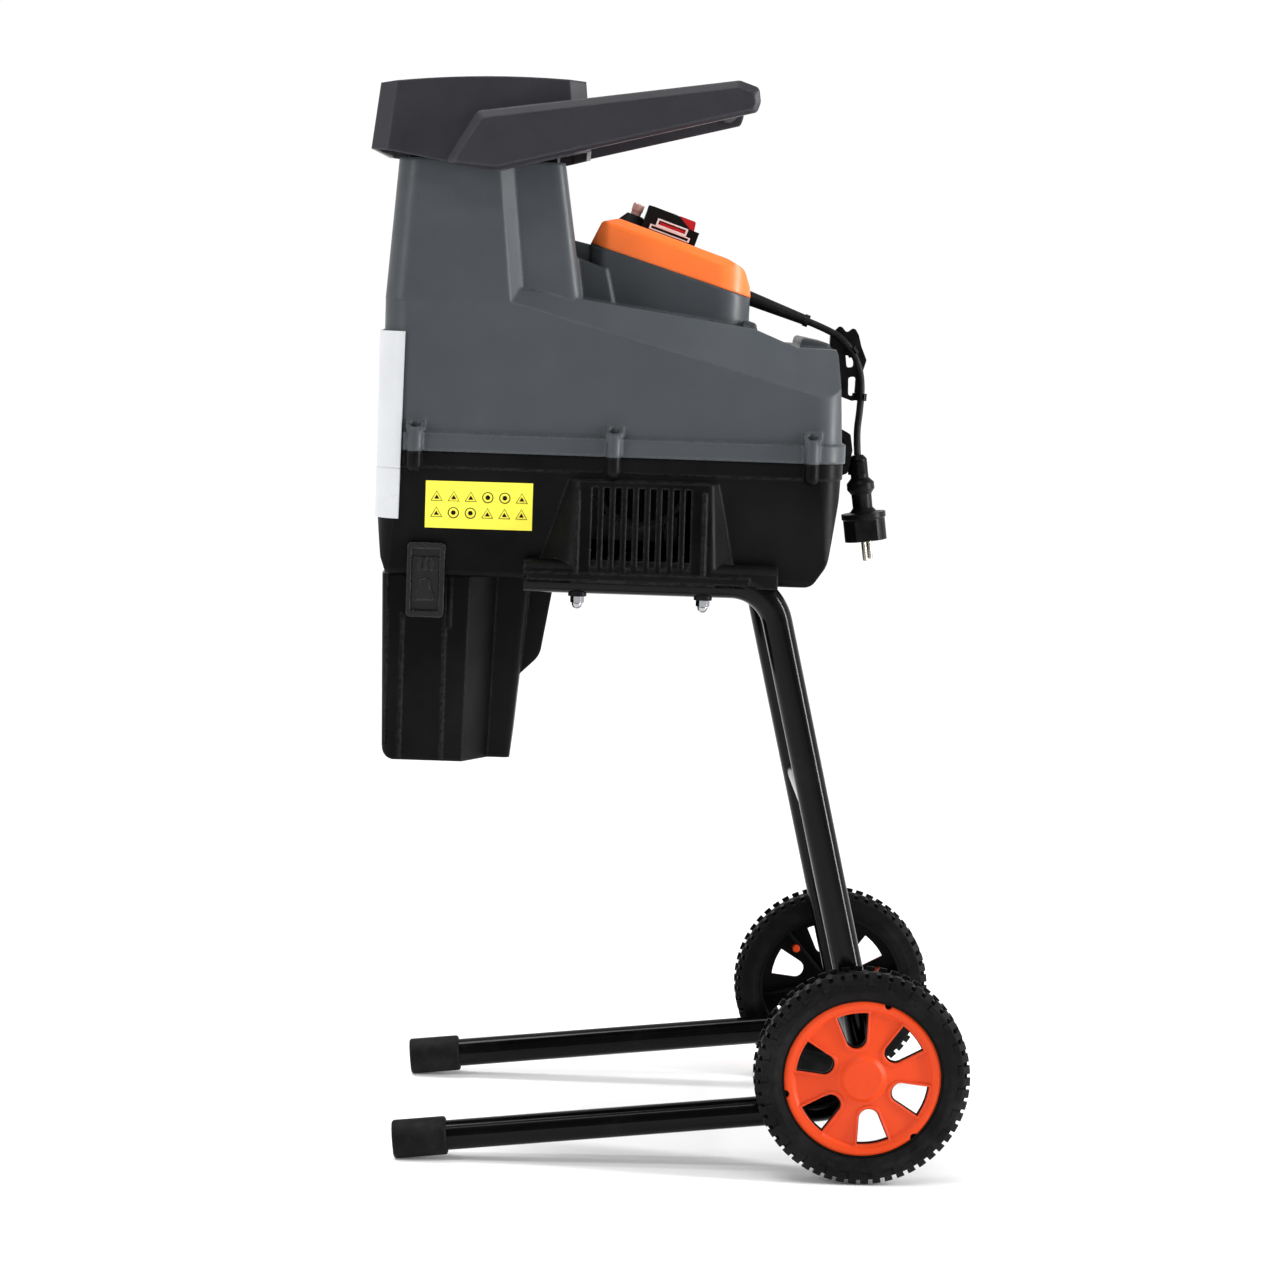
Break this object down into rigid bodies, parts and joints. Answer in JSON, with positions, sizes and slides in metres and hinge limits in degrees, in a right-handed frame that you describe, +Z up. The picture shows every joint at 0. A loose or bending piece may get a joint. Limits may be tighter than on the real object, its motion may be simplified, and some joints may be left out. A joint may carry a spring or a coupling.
{
  "type": "electric garden shredder",
  "caption": "Wheeled electric garden shredder with a tall feed hopper, handle arms, side vents, discharge chute, bent tube frame and spoked wheels.",
  "frame": {"origin": "on the floor, under the centre of the bounding box of everything but the hanging cord and plug", "axes": "+X towards the wheels (rear), +Y towards the machine's right side, +Z up"},
  "size_m": [0.5798, 0.4676, 1.0088],
  "materials": {
    "frame_black": "gloss black enamel on steel tube",
    "rubber_cap": "matt dark rubber",
    "chrome": "bright plated steel",
    "washer_black": "black zinc",
    "steel": "machined steel",
    "zinc_screw": "blackened screw",
    "tyre": "moulded tyre rubber",
    "wheel_black": "black moulded plastic",
    "wheel_orange": "orange moulded plastic",
    "housing_black": "fine grained black plastic",
    "housing_grey": "fine grained dark grey plastic",
    "hood_charcoal": "fine grained charcoal plastic",
    "grip": "soft grip sleeve",
    "funnel_black": "black plastic",
    "panel_silver": "silver painted plastic",
    "label_yellow": "yellow film",
    "panel_orange": "orange moulded plastic",
    "switch_black": "black plastic",
    "switch_white": "white plastic",
    "switch_red": "red plastic",
    "switch_green": "green plastic",
    "reset_clear": "translucent cap over red",
    "boot_rubber": "black rubber",
    "cord_black": "black rubber cord jacket",
    "plug_black": "black rubber plug",
    "pin_nickel": "nickel plated brass",
    "latch_black": "black plastic",
    "motor_case": "painted motor can",
    "gear_steel": "cut gear steel",
    "cast_grey": "cast iron",
    "gearbox_alloy": "die cast alloy",
    "fan_plastic": "nylon",
    "capacitor_can": "drawn aluminium can"
  },
  "bodies": {
    "machine": {"frame_tube_left": "frame_black", "frame_tube_right": "frame_black", "cross_brace": "frame_black", "foot_cap_left": "rubber_cap", "foot_cap_right": "rubber_cap", "tube_bolts": "steel", "tube_washers": "washer_black", "acorn_nuts": "chrome", "axle": "steel", "wheel_washers": "steel", "axle_clips": "steel", "lower_housing": "housing_black", "upper_housing": "housing_grey", "housing_screws": "zinc_screw", "front_panel": "panel_silver", "label_plate": "label_yellow", "hood": "hood_charcoal", "handle_bar": "grip", "feed_funnel": "funnel_black", "discharge_chute": "housing_black", "latch_bezel": "latch_black", "safety_switch": "switch_red", "control_panel": "panel_orange", "switch_box": "switch_black", "switch_frames": "switch_white", "switch_inlays": "switch_red", "reset_boot": "boot_rubber", "cord_gland": "cord_black", "power_cord": "cord_black", "cord_retainer": "plug_black", "plug_holder": "plug_black", "plug_body": "plug_black", "plug_pins": "pin_nickel", "motor_stator": "motor_case", "drum_bearings": "steel", "chamber_frame": "cast_grey", "gearbox_case": "gearbox_alloy", "gearbox_cover": "gearbox_alloy", "capacitor": "capacitor_can"},
    "wheel_left": {"tyre_left": "tyre", "wheel_core_left": "wheel_black", "wheel_cover_left": "wheel_orange"},
    "wheel_right": {"tyre_right": "tyre", "wheel_core_right": "wheel_black", "wheel_cover_right": "wheel_orange"},
    "motor_armature": {"motor_rotor": "steel", "motor_pinion": "gear_steel", "motor_fan": "fan_plastic"},
    "idler": {"intermediate_gear": "gear_steel"},
    "drum": {"cutting_drum": "steel", "drum_gear": "gear_steel"},
    "plate": {"pressure_plate": "steel"},
    "screw": {"adjusting_screw": "steel"},
    "latch": {"latch_slider": "latch_black"},
    "cover_flap": {"flip_cover": "switch_black"},
    "stop": {"stop_button": "switch_red"},
    "start": {"start_button": "switch_green"},
    "reset": {"reset_button": "reset_clear"}
  },
  "joints": [
    {"name": "wheel_left_spin", "type": "hinge", "parent": "machine", "child": "wheel_left", "pos_m": [0.19, -0.2125, 0.1], "axis": [0, 1, 0], "continuous": true},
    {"name": "wheel_right_spin", "type": "hinge", "parent": "machine", "child": "wheel_right", "pos_m": [0.19, 0.2125, 0.1], "axis": [0, 1, 0], "continuous": true},
    {"name": "drum_spin", "type": "hinge", "parent": "machine", "child": "drum", "pos_m": [-0.19, 0, 0.64], "axis": [0, 1, 0], "continuous": true},
    {"name": "idler_spin", "type": "hinge", "parent": "machine", "child": "idler", "pos_m": [-0.104, 0.075, 0.64], "axis": [0, 1, 0], "continuous": true},
    {"name": "motor_spin", "type": "hinge", "parent": "machine", "child": "motor_armature", "pos_m": [-0.03, 0, 0.64], "axis": [0, 1, 0], "continuous": true},
    {"name": "plate_slide", "type": "slide", "parent": "machine", "child": "plate", "axis": [-1, 0, 0], "range_m": [0, 0.006]},
    {"name": "screw_turn", "type": "hinge", "parent": "machine", "child": "screw", "pos_m": [-0.255, 0, 0.64], "axis": [-1, 0, 0], "range_deg": [0, 721]},
    {"name": "latch_slide", "type": "slide", "parent": "machine", "child": "latch", "axis": [0, 0, -1], "range_m": [0, 0.006]},
    {"name": "cover_hinge", "type": "hinge", "parent": "machine", "child": "cover_flap", "pos_m": [-0.02785, 0, 0.89364], "axis": [0, -1, 0], "range_deg": [0, 105]},
    {"name": "stop_press", "type": "slide", "parent": "machine", "child": "stop", "axis": [-0.3173, 0, -0.9483], "range_m": [0, 0.002], "stiffness_N_per_m": 400},
    {"name": "start_press", "type": "slide", "parent": "machine", "child": "start", "axis": [-0.3173, 0, -0.9483], "range_m": [0, 0.002], "stiffness_N_per_m": 400},
    {"name": "reset_press", "type": "slide", "parent": "machine", "child": "reset", "axis": [-0.3173, 0, -0.9483], "range_m": [0, 0.0025], "stiffness_N_per_m": 500}
  ],
  "couplings": [
    {"joint": "idler_spin", "follows": "drum_spin", "ratio": -3.3},
    {"joint": "motor_spin", "follows": "drum_spin", "ratio": 14.143},
    {"joint": "screw_turn", "follows": "plate_slide", "rad_per_m": 2094.4}
  ]
}
